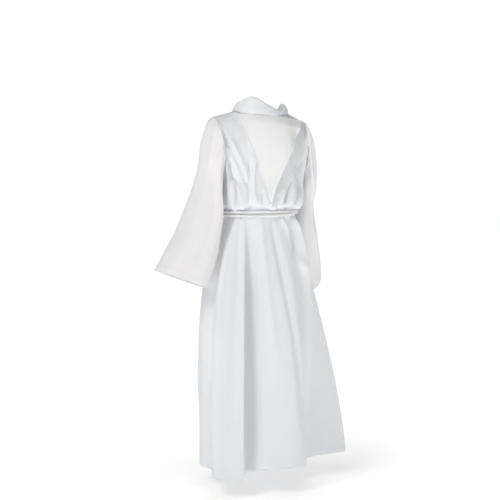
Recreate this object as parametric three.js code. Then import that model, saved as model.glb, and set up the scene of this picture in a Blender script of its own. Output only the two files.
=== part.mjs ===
// A child's hooded alb: a floor-length white robe with wide sleeves, a flat
// pointed hood on the back, a soft roll round the neck and a cord at the waist.
// Units are millimetres: +Z is up, +Y the wearer's back and +X the wearer's left.
// The origin lies midway between the shoulder points, where the wearer carries it.
import * as THREE from 'three';

// ---------- Driving dimensions ----------
const WALL = 1.4; // one layer of poly-cotton with its seam allowances
const SEAM_GAP = 0.3; // between sewn pieces
const SIDE_SEAM_BACK = 0.2; // each panel's edge from a side seam: half the gap and a little for the slant
const SLEEVE_SET_OUT = 2.6; // from the armhole's edge to the sleeve head's, past the wall's slant
const LAY_GAP = 2.8; // between a panel and what lies on it
const WAIST_DROP = 288; // from the origin down to where the skirt leaves the cord
const COLUMN_SPLIT = 2; // columns of facets from one fold to the next
const ARM_SIDES = 20; // facets round a sleeve
const KNOT_SIDES = { round: 12, high: 8 }; // facets of the knot

// The neckline: half width at the sides, reach to the back and front, and heights.
const NECK = { halfWidth: 68, back: 58, front: 66, sideZ: 12, backZ: -2, frontZ: -80 };
// The armholes, from the shoulder point down to the armpit. The right arm reaches
// forward, so its shoulder sits lower and further in.
const LEFT_ARMHOLE = { topX: 150, topZ: -9, lowX: 128, lowZ: -168, halfDepth: 62 };
const RIGHT_ARMHOLE = { topX: 137, topZ: -19, lowX: 128, lowZ: -168, halfDepth: 62 };
// Turns are degrees round the body from centre back, positive to the wearer's left.
const NECK_TURN = 30; // the shoulder seam starts here
const SHOULDER_TURN = 52; // and ends here, where the armhole starts

const NECK_DIP = 1.4; // how late the neckline dips on its way to the centre: 1 is an even curve
// Where the cloth turns over the shoulder, as parts of the way from the top edge to the
// first level section, and how far under the top edge.
const YOKE_TURN = { across: 0.3, depth: 0.9, fall: 4 };

// Level sections of the bodice, which blouses over the cord.
const BODICE = [
  { drop: 176, halfWidth: 121, back: 87, front: 84, corner: 2.7 },
  { drop: 215, halfWidth: 120, back: 93, front: 86, corner: 2.5 },
  { drop: 246, halfWidth: 118, back: 99, front: 89, corner: 2.3 },
  { drop: 261, halfWidth: 115, back: 97, front: 88, corner: 2.2 },
  { drop: 266, halfWidth: 105, back: 82, front: 81, corner: 2.1 },
  { drop: WAIST_DROP, halfWidth: 103, back: 78, front: 78, corner: 2 },
];

// One row for each skirt fold: its turn at the waist, its place and drop at the hem,
// how soon it flares (1 is a straight line) and how far it bellies out above the knee.
const FOLDS = [
  { turn: 90, x: 166, y: -42, drop: 1003, flare: 5, belly: 0 }, // left side seam
  { turn: 77, x: 160, y: 20, drop: 1003, flare: 5, belly: 0 },
  { turn: 66, x: 198, y: 118, drop: 1003, flare: 2.6, belly: 0 },
  { turn: 54, x: 165, y: 150, drop: 1003, flare: 2.2, belly: 0 },
  { turn: 42, x: 119, y: 169, drop: 1002, flare: 2, belly: 0 }, // left pleat edge
  { turn: 36, x: 98, y: 130, drop: 996, flare: 2, belly: 0 }, // left pleat groove
  { turn: 27, x: 70, y: 150, drop: 988, flare: 2, belly: 0 },
  { turn: 14, x: 36, y: 174, drop: 981, flare: 2, belly: 0 },
  { turn: 0, x: 0, y: 185, drop: 980, flare: 2, belly: 0 }, // centre back
  { turn: -14, x: -38, y: 182, drop: 981, flare: 2, belly: 0 },
  { turn: -26, x: -72, y: 156, drop: 984, flare: 2, belly: 0 }, // centre panel edge
  { turn: -35, x: -92, y: 88, drop: 996, flare: 2, belly: -6 }, // right pleat groove
  { turn: -46, x: -130, y: 22, drop: 1003, flare: 2, belly: 40 }, // right pleat edge
  { turn: -60, x: -160, y: -8, drop: 1003, flare: 1.8, belly: 14 },
  { turn: -75, x: -222, y: -28, drop: 1003, flare: 1.5, belly: 0 },
  { turn: -90, x: -308, y: -46, drop: 1003, flare: 1.35, belly: 0 }, // right side seam
  { turn: -104, x: -262, y: -112, drop: 1003, flare: 1.45, belly: 0 },
  { turn: -120, x: -186, y: -128, drop: 1003, flare: 1.6, belly: 0 },
  { turn: -136, x: -142, y: -176, drop: 1003, flare: 1.8, belly: 0 },
  { turn: -152, x: -76, y: -160, drop: 1003, flare: 2, belly: 0 },
  { turn: -168, x: -26, y: -188, drop: 1003, flare: 2, belly: 0 },
  { turn: -184, x: 26, y: -184, drop: 1003, flare: 2, belly: 0 }, // near centre front
  { turn: -200, x: 66, y: -160, drop: 1003, flare: 2.2, belly: 0 },
  { turn: -216, x: 102, y: -176, drop: 1003, flare: 2.6, belly: 0 },
  { turn: -233, x: 122, y: -134, drop: 1003, flare: 3.4, belly: 0 },
  { turn: -251, x: 150, y: -92, drop: 1003, flare: 4.4, belly: 0 },
];
const RIGHT_SEAM_FOLD = 15; // the row of the right side seam
const YOKE_LEVELS = [0, 0.1, 0.25, 0.45, 0.7];
const SKIRT_LEVELS = [0.03, 0.08, 0.16, 0.28, 0.42, 0.58, 0.78, 1];

// Rings down each sleeve: the outer end and the inner end of a flattened loop, its
// half depth across them, and how far that depth is turned from the back outwards.
const LEFT_SLEEVE = [
  { outer: [150, 0, -9], inner: [128, 0, -168], halfDepth: 62, turn: 0 },
  { outer: [164, -2, -42], inner: [130, 6, -184], halfDepth: 61, turn: 0 },
  { outer: [175, -4, -100], inner: [130, 14, -218], halfDepth: 57, turn: 0 },
  { outer: [189, -6, -165], inner: [130, 22, -262], halfDepth: 53, turn: 0 },
  { outer: [216, -8, -240], inner: [133, 30, -312], halfDepth: 50, turn: 0 },
  { outer: [248, -10, -312], inner: [145, 38, -366], halfDepth: 47, turn: 0 },
  { outer: [284, -12, -376], inner: [163, 42, -424], halfDepth: 45, turn: 0 },
  { outer: [316, -14, -433], inner: [184, 40, -484], halfDepth: 44, turn: 0 },
];
const RIGHT_SLEEVE = [
  { outer: [-137, 0, -19], inner: [-128, 0, -168], halfDepth: 62, turn: 0 },
  { outer: [-151, -1, -52], inner: [-129, 2, -186], halfDepth: 60, turn: 0 },
  { outer: [-166, -6, -107], inner: [-128, 3, -222], halfDepth: 54, turn: 0 },
  { outer: [-173, -20, -166], inner: [-128, 0, -268], halfDepth: 46, turn: 12 },
  { outer: [-172, -50, -225], inner: [-128, -10, -322], halfDepth: 42, turn: 28 },
  { outer: [-182, -80, -282], inner: [-148, -24, -386], halfDepth: 42, turn: 48 },
  { outer: [-197, -110, -338], inner: [-170, -42, -450], halfDepth: 41, turn: 66 },
  { outer: [-210, -136, -392], inner: [-198, -60, -513], halfDepth: 40, turn: 80 },
];

// The flat hood: its top corners and its tip, as seen from behind.
const HOOD = { leftX: 96, leftZ: 1, rightX: -112, rightZ: -18, tipX: 11, tipZ: -253 };
// Half the width of the pointed tip, and how the right edge bows in: 1 is straight.
const HOOD_EDGES = { tipHalf: 2, rightBow: 1.12 };
// Facets down and across, with closer rows near the top, where the back curves most.
const HOOD_GRID = { rows: 14, columns: 10, crowding: 1.5 };
const HOOD_WALL = 2.2; // two layers pressed flat

// The roll's crest above the neckline and its reach out to its lower edge, from
// centre back round the neck to the wearer's left.
const ROLL = [
  { turn: 0, crest: 26, reach: 21 },
  { turn: 38, crest: 44, reach: 20 },
  { turn: 80, crest: 24, reach: 13 },
  { turn: 130, crest: 18, reach: 15 },
  { turn: 180, crest: 16, reach: 18 },
  { turn: 230, crest: 18, reach: 18 },
  { turn: 285, crest: 22, reach: 18 },
  { turn: 325, crest: 10, reach: 20 },
];
// The roll's wall in section, from its inner foot over the crest to its lower edge:
// reach as a part of the row's, rise from the foot or the edge up to the crest.
const ROLL_SECTION = [
  { reach: -0.24, rise: 0.1, outside: false },
  { reach: -0.28, rise: 0.5, outside: false },
  { reach: -0.14, rise: 0.9, outside: false },
  { reach: 0.14, rise: 1, outside: true },
  { reach: 0.52, rise: 0.9, outside: true },
  { reach: 0.86, rise: 0.5, outside: true },
  { reach: 1, rise: 0, outside: true },
];
const ROLL_OVERHANG = 16; // the most it falls below the neckline where it hangs clear
const ROLL_TOP = 60; // above every part of the roll
const RAY_ASIDE = { x: 0.2, y: 2 }; // from a place beside the neck to the rays that feel for the cloth
const ROLL_COLUMNS = 32;

// The cord goes twice round the waist from a knot at the front, and its ends hang free.
const CORD_RADIUS = 3.4;
const CORD_SIDES = 8;
const CORD_LOOP = { halfWidth: 110.5, halfDepth: 86.5, topDrop: 270.5, pitch: 7.3, rounds: 2 };
const CORD_STEPS = 80;
const KNOT = { halfWidth: 10, halfDepth: 7, halfHeight: 11, y: -97.6, drop: 278 };
const LEFT_END = [[4.5, -98, -290], [7, -99, -312], [12, -104, -352], [17, -123, -422],
  [21, -143, -502], [24, -161, -590]];
const RIGHT_END = [[-4.5, -98, -290], [-9, -99, -312], [-15, -105, -354], [-21, -125, -428],
  [-25, -145, -510], [-27, -158, -572]];
const END_STEPS = 18;

// ---------- Materials ----------
const cloth = (color) => new THREE.MeshStandardMaterial({ color, roughness: 0.8, metalness: 0 });
const cordStuff = () => new THREE.MeshStandardMaterial({ color: '#e9e7e2', roughness: 0.7 });

// ---------- Helpers ----------
const radians = THREE.MathUtils.degToRad;
const lerp = THREE.MathUtils.lerp;

// A value of a table's column, part way between row i and the next.
function between(table, column, i, part) {
  return lerp(table[i][column], table[(i + 1) % table.length][column], part);
}

// A wall from a grid of points on its outer face. Rows run down, columns run round
// from the wearer's left to the right as seen from behind. normals match the grid.
function wallGeometry(outer, normals, thickness, closed) {
  const rows = outer.length;
  const columns = outer[0].length;
  const inner = outer.map((row, r) =>
    row.map((p, c) => p.clone().addScaledVector(normals[r][c], -thickness)));
  const points = [...outer.flat(), ...inner.flat()];
  const index = [];
  const out = (r, c) => r * columns + (c % columns);
  const inn = (r, c) => rows * columns + out(r, c);
  const quad = (a, b, c, d) => index.push(a, b, c, a, c, d);
  const spans = closed ? columns : columns - 1;
  for (let c = 0; c < spans; c++) {
    for (let r = 0; r < rows - 1; r++) {
      quad(out(r, c), out(r + 1, c), out(r + 1, c + 1), out(r, c + 1));
      quad(inn(r, c), inn(r, c + 1), inn(r + 1, c + 1), inn(r + 1, c));
    }
    quad(out(0, c), out(0, c + 1), inn(0, c + 1), inn(0, c));
    quad(out(rows - 1, c), inn(rows - 1, c), inn(rows - 1, c + 1), out(rows - 1, c + 1));
  }
  for (let r = 0; !closed && r < rows - 1; r++) {
    quad(out(r, 0), inn(r, 0), inn(r + 1, 0), out(r + 1, 0));
    quad(out(r, spans), out(r + 1, spans), inn(r + 1, spans), inn(r, spans));
  }
  const geometry = new THREE.BufferGeometry().setFromPoints(points);
  geometry.setIndex(index);
  geometry.computeVertexNormals();
  return geometry;
}

// Outward unit normals of such a grid, by differences between its neighbours.
function gridNormals(grid, closed) {
  const lastRow = grid.length - 1;
  const count = grid[0].length;
  const clampColumn = (c) => (closed ? (c + count) % count : Math.min(Math.max(c, 0), count - 1));
  return grid.map((row, r) => row.map((_, c) => {
    const down = grid[Math.min(r + 1, lastRow)][c].clone().sub(grid[Math.max(r - 1, 0)][c]);
    const along = row[clampColumn(c + 1)].clone().sub(row[clampColumn(c - 1)]);
    return down.cross(along).normalize();
  }));
}

function namedMesh(name, geometry, material) {
  const mesh = new THREE.Mesh(geometry, material);
  mesh.name = name;
  return mesh;
}

// ---------- Body: back and front panels ----------
// The panels' top edge at a turn: the neckline, the shoulder seam or the armhole.
function topEdge(turn) {
  const side = Math.sin(radians(turn)) < 0 ? -1 : 1;
  const facing = Math.cos(radians(turn)) < -1e-9 ? -1 : 1;
  const armhole = side < 0 ? RIGHT_ARMHOLE : LEFT_ARMHOLE;
  const fromCentre = 90 - Math.abs(90 - Math.abs(THREE.MathUtils.euclideanModulo(turn + 180, 360) - 180));
  if (fromCentre < NECK_TURN) {
    const angle = radians((90 * fromCentre) / NECK_TURN);
    const reach = facing > 0 ? NECK.back : NECK.front;
    const centreZ = facing > 0 ? NECK.backZ : NECK.frontZ;
    const z = lerp(NECK.sideZ, centreZ, Math.cos(angle) ** NECK_DIP);
    return new THREE.Vector3(side * NECK.halfWidth * Math.sin(angle), facing * reach * Math.cos(angle), z);
  }
  if (fromCentre < SHOULDER_TURN) {
    const part = (fromCentre - NECK_TURN) / (SHOULDER_TURN - NECK_TURN);
    const x = side * lerp(NECK.halfWidth, armhole.topX, part);
    return new THREE.Vector3(x, 0, lerp(NECK.sideZ, armhole.topZ, part));
  }
  const angle = (Math.PI * (fromCentre - SHOULDER_TURN)) / (90 - SHOULDER_TURN);
  const middleX = (armhole.topX + armhole.lowX) / 2;
  const middleZ = (armhole.topZ + armhole.lowZ) / 2;
  return new THREE.Vector3(
    side * (middleX + (armhole.topX - middleX) * Math.cos(angle)),
    facing * armhole.halfDepth * Math.sin(angle),
    middleZ + (armhole.topZ - middleZ) * Math.cos(angle));
}

// A point at a turn on a level section with rounded corners.
function sectionPoint(turn, section) {
  const sine = Math.sin(radians(turn));
  const cosine = Math.cos(radians(turn));
  const power = 2 / section.corner;
  const depth = cosine > 0 ? section.back : section.front;
  return new THREE.Vector3(
    section.halfWidth * Math.sign(sine) * Math.abs(sine) ** power,
    depth * Math.sign(cosine) * Math.abs(cosine) ** power,
    -section.drop);
}

// From the top edge the cloth turns over the shoulder and falls to the first section.
function yokePoint(turn, level) {
  const top = topEdge(turn);
  const low = sectionPoint(turn, BODICE[0]);
  const bend = new THREE.Vector3(
    lerp(top.x, low.x, YOKE_TURN.across), lerp(top.y, low.y, YOKE_TURN.depth), top.z - YOKE_TURN.fall);
  const curve = new THREE.QuadraticBezierCurve3(top, bend, low);
  return curve.getPoint(level);
}

const hemCurve = new THREE.CatmullRomCurve3(
  FOLDS.map((fold) => new THREE.Vector3(fold.x, fold.y, -fold.drop)), true, 'centripetal');

// A skirt point at a column and a level, 0 at the waist and 1 at the hem.
function skirtPoint(column, turn, level) {
  const row = Math.floor(column / COLUMN_SPLIT);
  const part = (column % COLUMN_SPLIT) / COLUMN_SPLIT;
  const waist = sectionPoint(turn, BODICE.at(-1));
  const hem = hemCurve.getPoint(column / (FOLDS.length * COLUMN_SPLIT));
  const out = 1 - (1 - level) ** between(FOLDS, 'flare', row, part);
  const belly = between(FOLDS, 'belly', row, part) * Math.sin(Math.PI * Math.sqrt(level));
  const outward = new THREE.Vector3(Math.sin(radians(turn)), Math.cos(radians(turn)), 0);
  const point = waist.clone().lerp(hem, out).addScaledVector(outward, belly);
  point.z = lerp(waist.z, hem.z, level);
  return point;
}

// The turn at a column of facets; the last fold's next neighbour is the first, a full turn on.
function turnOf(column) {
  const row = Math.floor(column / COLUMN_SPLIT);
  const next = row + 1 < FOLDS.length ? FOLDS[row + 1].turn : FOLDS[0].turn - 360;
  return lerp(FOLDS[row].turn, next, (column % COLUMN_SPLIT) / COLUMN_SPLIT);
}

// All the points of the body, column by column round the wearer, in rows from the top.
function bodyGrid() {
  const columns = Array.from({ length: FOLDS.length * COLUMN_SPLIT }, (_, column) => column);
  const yoke = YOKE_LEVELS.map((level) => columns.map((c) => yokePoint(turnOf(c), level)));
  const bodice = BODICE.map((section) => columns.map((c) => sectionPoint(turnOf(c), section)));
  const skirt = SKIRT_LEVELS.map((level) => columns.map((c) => skirtPoint(c, turnOf(c), level)));
  return [...yoke, ...bodice, ...skirt];
}

// One panel: the columns from one side seam to the other, drawn back from its seams.
function panel(name, color, grid, normals, first, last) {
  const count = grid[0].length;
  const pick = (row) => Array.from({ length: last - first + 1 }, (_, i) => row[(first + i) % count].clone());
  const points = grid.map(pick);
  for (const row of points) {
    const shrink = (end, next) => end.addScaledVector(next.clone().sub(end).normalize(), SIDE_SEAM_BACK);
    shrink(row[0], row[1]);
    shrink(row.at(-1), row.at(-2));
  }
  const shoulderShift = name === 'back' ? SEAM_GAP : -SEAM_GAP;
  points[0].forEach((p) => { p.y += Math.abs(p.y) < 1 ? shoulderShift : 0; });
  return namedMesh(name, wallGeometry(points, normals.map(pick), WALL, false), cloth(color));
}

// ---------- Sleeves ----------
function sleevePoint(ring, angle, side) {
  const outer = new THREE.Vector3(...ring.outer);
  const inner = new THREE.Vector3(...ring.inner);
  const turn = radians(ring.turn);
  const across = new THREE.Vector3(side * Math.sin(turn), Math.cos(turn), 0);
  return outer.clone().add(inner).multiplyScalar(0.5)
    .addScaledVector(outer.clone().sub(inner), 0.5 * Math.cos(angle))
    .addScaledVector(across, ring.halfDepth * Math.sin(angle));
}

function sleeve(name, rings, side) {
  const grid = rings.map((ring) => Array.from({ length: ARM_SIDES }, (_, i) =>
    sleevePoint(ring, (side * 2 * Math.PI * i) / ARM_SIDES, side)));
  grid[0].forEach((p) => { p.x += side * SLEEVE_SET_OUT; });
  return namedMesh(name, wallGeometry(grid, gridNormals(grid, true), WALL, true), cloth('#f1f0f2'));
}

// ---------- Hood and roll ----------
// The hood lies on the back, so each of its points is a point of the back moved out.
function hood(back) {
  const ray = new THREE.Raycaster();
  const inward = new THREE.Vector3(0, -1, 0);
  const { rows, columns } = HOOD_GRID;
  const grid = Array.from({ length: rows + 1 }, (_, r) => {
    const down = (r / rows) ** HOOD_GRID.crowding;
    const left = lerp(HOOD.tipX + HOOD_EDGES.tipHalf, HOOD.leftX, 1 - down);
    const right = lerp(HOOD.tipX - HOOD_EDGES.tipHalf, HOOD.rightX, (1 - down) ** HOOD_EDGES.rightBow);
    return Array.from({ length: columns + 1 }, (_, c) => {
      const x = lerp(left, right, c / columns);
      const z = lerp(lerp(HOOD.leftZ, HOOD.rightZ, c / columns), HOOD.tipZ, down);
      ray.set(new THREE.Vector3(x, 2 * NECK.halfWidth, z), inward);
      const hit = ray.intersectObject(back)[0];
      return hit.point.clone().addScaledVector(hit.face.normal, LAY_GAP + HOOD_WALL);
    });
  });
  return namedMesh('hood', wallGeometry(grid, gridNormals(grid, false), HOOD_WALL, false), cloth('#f4f4f3'));
}

// A column of the roll's table at a turn round the neck, eased from row to row.
function rollValue(column, turn) {
  const next = ROLL.findIndex((row) => row.turn > turn);
  const after = next < 0 ? { ...ROLL[0], turn: 360 } : ROLL[next];
  const before = next < 0 ? ROLL.at(-1) : ROLL[next - 1];
  const part = (turn - before.turn) / (after.turn - before.turn);
  return lerp(before[column], after[column], THREE.MathUtils.smoothstep(part, 0, 1));
}

// The height of the shoulders, back or front under a place beside the neck, from rays
// a little to either side of it, clear of the shoulder seam.
function heightBelow(x, y, panels) {
  const ray = new THREE.Raycaster();
  const downward = new THREE.Vector3(0, 0, -1);
  const heights = [-1, 1].flatMap((way) => {
    ray.set(new THREE.Vector3(x + way * RAY_ASIDE.x, y + way * RAY_ASIDE.y, ROLL_TOP), downward);
    return ray.intersectObjects(panels).map((hit) => hit.point.z);
  });
  return Math.max(...heights);
}

// The roll rises inside the neckline, turns over at its crest and falls outside, where
// its lower edge lies on the shoulders. Its columns run from centre back to the right.
function roll(panels) {
  const columns = Array.from({ length: ROLL_COLUMNS }, (_, i) => {
    const turn = (360 * (ROLL_COLUMNS - i)) / ROLL_COLUMNS % 360;
    const neck = neckPoint(turn);
    const outward = new THREE.Vector3(Math.sin(radians(turn)), Math.cos(radians(turn)), 0);
    const reach = rollValue('reach', turn);
    const edge = neck.clone().addScaledVector(outward, reach);
    const under = Math.max(heightBelow(edge.x, edge.y, panels), neck.z - ROLL_OVERHANG);
    const edgeZ = under + LAY_GAP + WALL;
    const crestZ = neck.z + rollValue('crest', turn);
    return ROLL_SECTION.map((place) => {
      const point = neck.clone().addScaledVector(outward, reach * place.reach);
      point.z = lerp(place.outside ? edgeZ : neck.z, crestZ, place.rise);
      return point;
    });
  });
  const grid = ROLL_SECTION.map((_, r) => columns.map((column) => column[r]));
  return namedMesh('neck_roll', wallGeometry(grid, gridNormals(grid, true), WALL, true), cloth('#efeff0'));
}

// A place on the neckline at a turn round the neck itself.
function neckPoint(turn) {
  const side = Math.sin(radians(turn));
  const facing = Math.cos(radians(turn));
  const fromCentre = THREE.MathUtils.radToDeg(Math.acos(Math.abs(facing)));
  const squeezed = (fromCentre * NECK_TURN) / 90;
  const edgeTurn = facing >= 0 ? Math.sign(side) * squeezed : Math.sign(side) * (180 - squeezed);
  return topEdge(Math.abs(facing) < 1e-9 ? Math.sign(side) * (NECK_TURN - 1e-6) : edgeTurn);
}

// ---------- Cincture ----------
function cordTube(name, points, steps) {
  const section = new THREE.Shape();
  for (let i = 0; i < CORD_SIDES; i++) {
    const angle = (2 * Math.PI * i) / CORD_SIDES;
    const x = CORD_RADIUS * Math.cos(angle);
    const y = CORD_RADIUS * Math.sin(angle);
    if (i === 0) section.moveTo(x, y);
    else section.lineTo(x, y);
  }
  const route = new THREE.CatmullRomCurve3(points, false, 'centripetal');
  return namedMesh(name, new THREE.ExtrudeGeometry(section, { steps, extrudePath: route }), cordStuff());
}

function cordWraps() {
  const points = Array.from({ length: CORD_STEPS + 1 }, (_, i) => {
    const rounds = (CORD_LOOP.rounds * i) / CORD_STEPS;
    const angle = 2 * Math.PI * rounds;
    return new THREE.Vector3(
      CORD_LOOP.halfWidth * Math.sin(angle),
      -CORD_LOOP.halfDepth * Math.cos(angle),
      -CORD_LOOP.topDrop - CORD_LOOP.pitch * rounds);
  });
  return cordTube('cincture_wraps', points, CORD_STEPS);
}

function cordKnot() {
  const geometry = new THREE.SphereGeometry(1, KNOT_SIDES.round, KNOT_SIDES.high);
  const knot = namedMesh('cincture_knot', geometry, cordStuff());
  knot.scale.set(KNOT.halfWidth, KNOT.halfDepth, KNOT.halfHeight);
  knot.position.set(0, KNOT.y, -KNOT.drop);
  return knot;
}

function cordEnd(name, places) {
  return cordTube(name, places.map((place) => new THREE.Vector3(...place)), END_STEPS);
}

// ---------- Model ----------
const alb = new THREE.Group();
const grid = bodyGrid();
const normals = gridNormals(grid, true);
// Along the shoulder seam both panels lie level.
normals[0].forEach((normal, c) => {
  if (Math.abs(grid[0][c].y) < 1) normal.set(0, 0, 1);
});
const rightSeam = RIGHT_SEAM_FOLD * COLUMN_SPLIT;
const back = panel('back', '#eceef2', grid, normals, 0, rightSeam);
alb.add(back);
const front = panel('front', '#f0f1f3', grid, normals, rightSeam, grid[0].length);
alb.add(front);
alb.add(sleeve('sleeve_left', LEFT_SLEEVE, 1));
alb.add(sleeve('sleeve_right', RIGHT_SLEEVE, -1));
const flatHood = hood(back);
alb.add(flatHood);
alb.add(roll([back, front, flatHood]));
alb.add(cordWraps());
alb.add(cordKnot());
alb.add(cordEnd('cincture_end_left', LEFT_END));
alb.add(cordEnd('cincture_end_right', RIGHT_END));
export default alb;
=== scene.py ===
import math

import bpy
import numpy as np
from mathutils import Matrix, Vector, noise


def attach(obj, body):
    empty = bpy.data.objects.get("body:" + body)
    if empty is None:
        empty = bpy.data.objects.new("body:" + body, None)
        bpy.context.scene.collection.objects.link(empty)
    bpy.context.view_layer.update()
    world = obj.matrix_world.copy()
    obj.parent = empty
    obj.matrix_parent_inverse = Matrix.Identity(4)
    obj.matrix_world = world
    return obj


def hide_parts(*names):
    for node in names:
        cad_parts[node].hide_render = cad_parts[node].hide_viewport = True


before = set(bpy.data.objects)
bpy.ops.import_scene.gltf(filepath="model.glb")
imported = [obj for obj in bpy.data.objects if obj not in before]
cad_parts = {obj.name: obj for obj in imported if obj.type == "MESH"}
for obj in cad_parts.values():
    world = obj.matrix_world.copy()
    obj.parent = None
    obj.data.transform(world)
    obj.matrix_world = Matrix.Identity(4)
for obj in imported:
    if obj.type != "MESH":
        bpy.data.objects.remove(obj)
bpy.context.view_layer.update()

# ---------------------------------------------------------------------------
# Camera: stands behind the wearer's left shoulder at chest height, four metres
# off, with a long lens, and looks a little down at the middle of the robe.
# ---------------------------------------------------------------------------
CAMERA_TURN = math.radians(155)  # round from the front towards the wearer's left
CAMERA_DISTANCE, CAMERA_HEIGHT, CAMERA_SHIFT = 4.0, -0.110, 0.028
AIM_HEIGHT = -0.385
bpy.ops.object.select_all(action="DESELECT")
towards_camera = Vector((math.sin(CAMERA_TURN), -math.cos(CAMERA_TURN), 0))
camera_right = Vector((math.cos(CAMERA_TURN), math.sin(CAMERA_TURN), 0))
aim = Vector((0, 0, AIM_HEIGHT)) - CAMERA_SHIFT * camera_right
stand = (towards_camera * CAMERA_DISTANCE - CAMERA_SHIFT * camera_right
         + Vector((0, 0, CAMERA_HEIGHT)))
bpy.ops.object.camera_add(location=stand)
camera = bpy.context.object
camera.rotation_euler = (aim - stand).to_track_quat("-Z", "Y").to_euler()
camera.data.lens = 101
camera.data.sensor_width = 36
camera.data.clip_end = 50
bpy.context.scene.camera = camera

# ---------------------------------------------------------------------------
# Cincture ends: the two free ends of the waist cord hang down the front from
# its knot. The cord is three white cotton strands laid up together, 7 mm thick.
# ---------------------------------------------------------------------------
CORD_RADIUS = 0.0034
CORD_LAY = 0.021  # one full turn of the strands along the cord
CORD_STEP = 0.0014  # between the rings of a cord's mesh
CORD_SIDES = 18
CORD_FINENESS = 60  # measuring points between two of a route's own
STRANDS = 3
STRAND_DIP, STRAND_BULGE = 0.8, 0.22  # parts of the radius: between two strands, and over one
LEFT_END = [(0.0045, -0.098, -0.290), (0.007, -0.099, -0.312), (0.012, -0.104, -0.352),
            (0.017, -0.123, -0.422), (0.021, -0.143, -0.502), (0.024, -0.161, -0.590)]
RIGHT_END = [(-0.0045, -0.098, -0.290), (-0.009, -0.099, -0.312), (-0.015, -0.105, -0.354),
             (-0.021, -0.125, -0.428), (-0.025, -0.145, -0.510), (-0.027, -0.158, -0.572)]


def spline(rows, at, closed=False):
    """Points on a smooth curve through rows, at fractional row numbers."""
    rows = np.asarray(rows, float)
    count = len(rows)
    last = count if closed else count - 1
    first = np.clip(np.floor(at), 0, last - 1).astype(int)
    part = (np.asarray(at) - first)[:, None]
    number = [first - 1, first, first + 1, first + 2]
    if closed:
        a, b, c, d = (rows[n % count] for n in number)
    else:
        a, b, c, d = (rows[np.clip(n, 0, count - 1)] for n in number)
    return 0.5 * (2 * b + (c - a) * part + (2 * a - 5 * b + 4 * c - d) * part**2
                  + (3 * b - a - 3 * c + d) * part**3)


def cloth_grid(name, columns, rows, place, closed=False):
    """A grid laid out by place(u, v): u runs to the right and v down its outer face."""
    bpy.ops.object.select_all(action="DESELECT")
    bpy.ops.mesh.primitive_grid_add(x_subdivisions=columns, y_subdivisions=rows, size=1)
    piece = bpy.context.object
    piece.name = name
    piece.data.name = name
    flat = np.empty(3 * len(piece.data.vertices))
    piece.data.vertices.foreach_get("co", flat)
    flat = flat.reshape(-1, 3)
    points = place(flat[:, 0] + 0.5, 0.5 - flat[:, 1])
    piece.data.vertices.foreach_set("co", points.ravel())
    piece.data.update()
    if closed:
        bpy.ops.object.mode_set(mode="EDIT")
        bpy.ops.mesh.select_all(action="SELECT")
        bpy.ops.mesh.remove_doubles(threshold=1e-5)
        bpy.ops.object.mode_set(mode="OBJECT")
    return piece


def cord_path(points):
    """Evenly spaced points on the smooth curve through a cord's points."""
    rows = np.asarray(points, float)
    fine = spline(rows, np.linspace(0, len(rows) - 1, CORD_FINENESS * len(rows)))
    run = np.concatenate([[0], np.cumsum(np.linalg.norm(np.diff(fine, axis=0), axis=1))])
    even = np.linspace(0, run[-1], max(4, round(run[-1] / CORD_STEP)))
    return np.stack([np.interp(even, run, fine[:, axis]) for axis in range(3)], axis=1)


def laid_cord(name, path):
    """Three strands laid up along a path, with rounded closed ends."""
    along = np.gradient(path, axis=0)
    along /= np.linalg.norm(along, axis=1)[:, None]
    aside = np.cross(along, (0.0, 0.0, 1.0) if abs(along[0][2]) < 0.7 else (1.0, 0.0, 0.0))
    aside /= np.linalg.norm(aside, axis=1)[:, None]
    upward = np.cross(aside, along)
    run = np.concatenate([[0], np.cumsum(np.linalg.norm(np.diff(path, axis=0), axis=1))])

    def place(u, v):
        row = np.rint(v * (len(path) - 1)).astype(int)
        angle = 2 * np.pi * u
        lobe = np.abs(np.cos(STRANDS / 2 * (angle + 2 * np.pi * run[row] / CORD_LAY)))
        size = CORD_RADIUS * (STRAND_DIP + STRAND_BULGE * lobe)
        ends = np.minimum(run[row], run[-1] - run[row]) / CORD_RADIUS
        size *= np.sqrt(1 - (1 - np.clip(ends, 0, 1)) ** 2)
        out = aside[row] * np.cos(angle)[:, None] - upward[row] * np.sin(angle)[:, None]
        return path[row] + out * size[:, None]

    return cloth_grid(name, CORD_SIDES, len(path) - 1, place, closed=True)


class Signal:
    """A value in a material's nodes: signs between two of them add a Math node."""

    def __init__(self, tree, socket):
        self.tree = tree
        self.socket = socket

    def math(self, operation, *others):
        node = self.tree.nodes.new("ShaderNodeMath")
        node.operation = operation
        for slot, value in zip(node.inputs, (self, *others)):
            feed(self.tree, slot, value)
        return Signal(self.tree, node.outputs[0])

    def __add__(self, other):
        return self.math("ADD", other)

    def __mul__(self, other):
        return self.math("MULTIPLY", other)

    __radd__ = __add__
    __rmul__ = __mul__


def feed(tree, slot, value):
    """Links a signal into a socket, or sets the socket's own value."""
    if isinstance(value, Signal):
        tree.links.new(value.socket, slot)
    else:
        slot.default_value = value


def shader_node(tree, kind, settings=None, output=0, **sockets):
    """A node of a kind with its settings, and its sockets fed by their names."""
    node = tree.nodes.new(kind)
    for key, value in (settings or {}).items():
        setattr(node, key, value)
    for key, value in sockets.items():
        feed(tree, node.inputs[key.replace("_", " ")], value)
    return Signal(tree, node.outputs[output])


def new_material(name, **constants):
    """A material with one Principled surface and constants on its own sockets."""
    material = bpy.data.materials.new(name)
    material.use_nodes = True
    surface = material.node_tree.nodes["Principled BSDF"]
    for key, value in constants.items():
        surface.inputs[key.replace("_", " ")].default_value = value
    return material, material.node_tree, surface


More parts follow.
